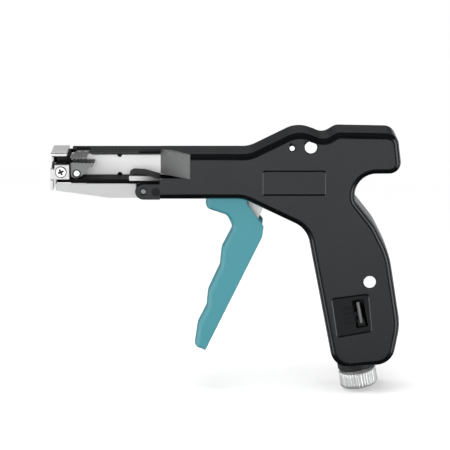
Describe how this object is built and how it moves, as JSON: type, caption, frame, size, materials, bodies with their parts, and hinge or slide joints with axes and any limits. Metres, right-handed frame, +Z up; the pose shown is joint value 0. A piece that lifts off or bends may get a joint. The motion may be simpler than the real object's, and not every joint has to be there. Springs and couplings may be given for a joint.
{
  "type": "cable tie tensioning tool",
  "caption": "Pistol-grip metal hand tool that tensions a plastic cable tie and cuts its tail, with a teal trigger, an open nose and a knurled tension knob.",
  "frame": {"origin": "front face of the nose, on the mid-plane, level with the strap", "axes": "+X back along the barrel, +Z up, and the open side of the nose faces -Y"},
  "size_m": [0.1705, 0.0253, 0.132],
  "materials": {
    "body": "satin black",
    "black_part": "black oxide",
    "bright_steel": "bright",
    "pin_steel": "polished",
    "grey_steel": "dark satin",
    "spring_steel": "drawn wire",
    "knurled_steel": "nickel plated",
    "black_plastic": "matte",
    "trigger_teal": "semi gloss teal"
  },
  "bodies": {
    "housing": {"housing_near": "body", "housing_far": "body", "housing_screws": "black_part", "knuckle_pin": "bright_steel", "front_screw": "black_part", "nose_cap": "bright_steel", "face_plate": "bright_steel", "nose_screw": "bright_steel", "nose_insert": "black_plastic", "slide_guide": "black_plastic", "guide_finger": "grey_steel", "tail_ramp": "grey_steel", "trigger_pin": "pin_steel", "rocker_pin": "pin_steel", "stop_pin": "pin_steel", "handle_pin": "pin_steel", "handle_collar": "black_plastic", "thrust_washer": "bright_steel", "return_spring": "spring_steel", "lever_spring": "spring_steel", "tension_spring": "spring_steel"},
    "trigger": {"trigger": "trigger_teal", "link_pin": "pin_steel"},
    "link": {"drive_link": "grey_steel"},
    "slider": {"slider": "bright_steel", "slide_pin": "pin_steel", "anvil": "grey_steel", "anvil_rivets": "pin_steel", "pawl_pin": "pin_steel", "pawl_spring": "spring_steel"},
    "pawl": {"pawl": "grey_steel"},
    "lever": {"knife_lever": "bright_steel"},
    "blade": {"blade": "bright_steel"},
    "cutoff": {"cutoff_rod": "black_part"},
    "rocker": {"rocker": "grey_steel", "rod_pin": "pin_steel"},
    "pull_rod": {"tension_rod": "grey_steel"},
    "nut": {"tension_nut": "grey_steel", "indicator": "bright_steel"},
    "knob": {"knob": "knurled_steel", "setting_screw": "grey_steel", "knob_set_screw": "black_part"}
  },
  "joints": [
    {"name": "trigger_squeeze", "type": "hinge", "parent": "housing", "child": "trigger", "pos_m": [0.09, 0, -0.01399], "axis": [0, -1, 0], "range_deg": [0, 24], "stiffness_Nm_per_rad": 0.8, "springref_deg": -17.19},
    {"name": "slider_travel", "type": "slide", "parent": "housing", "child": "slider", "axis": [1, 0, 0], "range_m": [0, 0.01338], "deforming": ["return_spring"]},
    {"name": "link_swing", "type": "hinge", "parent": "trigger", "child": "link", "pos_m": [0.096, 0, -0.031], "axis": [0, -1, 0], "range_deg": [-39.66, 0]},
    {"name": "pawl_grip", "type": "hinge", "parent": "slider", "child": "pawl", "pos_m": [0.01269, 0, -0.0067], "axis": [0, -1, 0], "range_deg": [0, 20], "stiffness_Nm_per_rad": 0.004, "springref_deg": -22.92},
    {"name": "rocker_tilt", "type": "hinge", "parent": "housing", "child": "rocker", "pos_m": [0.11699, 0, 0.0067], "axis": [0, -1, 0], "range_deg": [0, 2.6], "stiffness_Nm_per_rad": 20, "springref_deg": -5.73},
    {"name": "cutoff_pull", "type": "slide", "parent": "housing", "child": "cutoff", "axis": [1, 0, 0], "range_m": [0, 0.000314]},
    {"name": "knife_swing", "type": "hinge", "parent": "housing", "child": "lever", "pos_m": [0.0452, 0, -0.01467], "axis": [0, 1, 0], "range_deg": [0, 5.03]},
    {"name": "blade_rise", "type": "slide", "parent": "housing", "child": "blade", "axis": [0, 0, 1], "range_m": [0, 0.0038]},
    {"name": "rod_pull", "type": "slide", "parent": "housing", "child": "pull_rod", "axis": [-0.1874, 0, 0.9823], "range_m": [0, 0.000538], "deforming": ["tension_spring"]},
    {"name": "knob_turn", "type": "hinge", "parent": "housing", "child": "knob", "pos_m": [0.15001, 0, -0.1043], "axis": [-0.1874, 0, 0.9823], "range_deg": [-720, 720]},
    {"name": "nut_slide", "type": "slide", "parent": "housing", "child": "nut", "axis": [-0.1874, 0, 0.9823], "range_m": [-0.00201, 0.00201], "deforming": ["tension_spring"]}
  ],
  "couplings": [
    {"joint": "slider_travel", "follows": "trigger_squeeze", "m_per_rad": 0.0317},
    {"joint": "link_swing", "follows": "trigger_squeeze", "ratio": -1.64},
    {"joint": "cutoff_pull", "follows": "rocker_tilt", "m_per_rad": 0.0067},
    {"joint": "knife_swing", "follows": "rocker_tilt", "ratio": 1.914},
    {"joint": "blade_rise", "follows": "rocker_tilt", "m_per_rad": 0.0827},
    {"joint": "rod_pull", "follows": "rocker_tilt", "m_per_rad": 0.01164},
    {"joint": "nut_slide", "follows": "knob_turn", "m_per_rad": 0.00015915}
  ]
}
